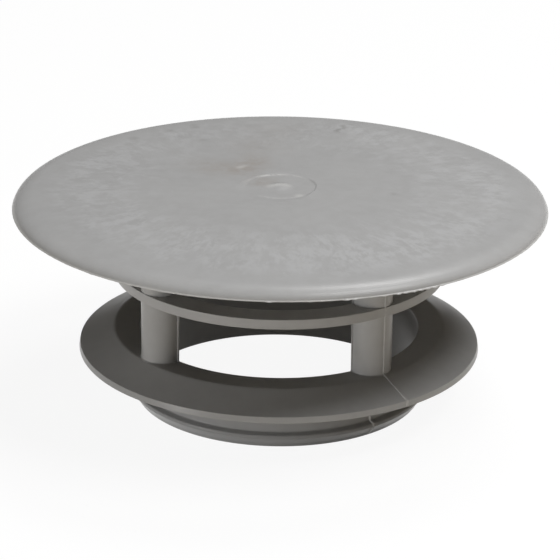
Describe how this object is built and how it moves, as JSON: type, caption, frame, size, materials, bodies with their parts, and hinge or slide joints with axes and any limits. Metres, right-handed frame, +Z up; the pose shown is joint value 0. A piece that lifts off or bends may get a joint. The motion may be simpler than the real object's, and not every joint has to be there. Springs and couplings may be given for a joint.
{
  "type": "vent pipe cap",
  "caption": "Push-in rain cap for the top of a round vent pipe, with open side windows between posts under a wide crowned disc.",
  "frame": {"origin": "centre of the spigot's bottom rim, on the duct's axis", "axes": "+Z up along the duct, from the spigot to the rain disc; the posts stand on the diagonals between X and Y"},
  "size_m": [0.1924, 0.1924, 0.0795],
  "materials": {
    "grey_plastic": "satin moulded plastic, with faint frosty flow marks on the disc"
  },
  "bodies": {
    "root": {"vent_cap": "grey_plastic"}
  },
  "joints": []
}
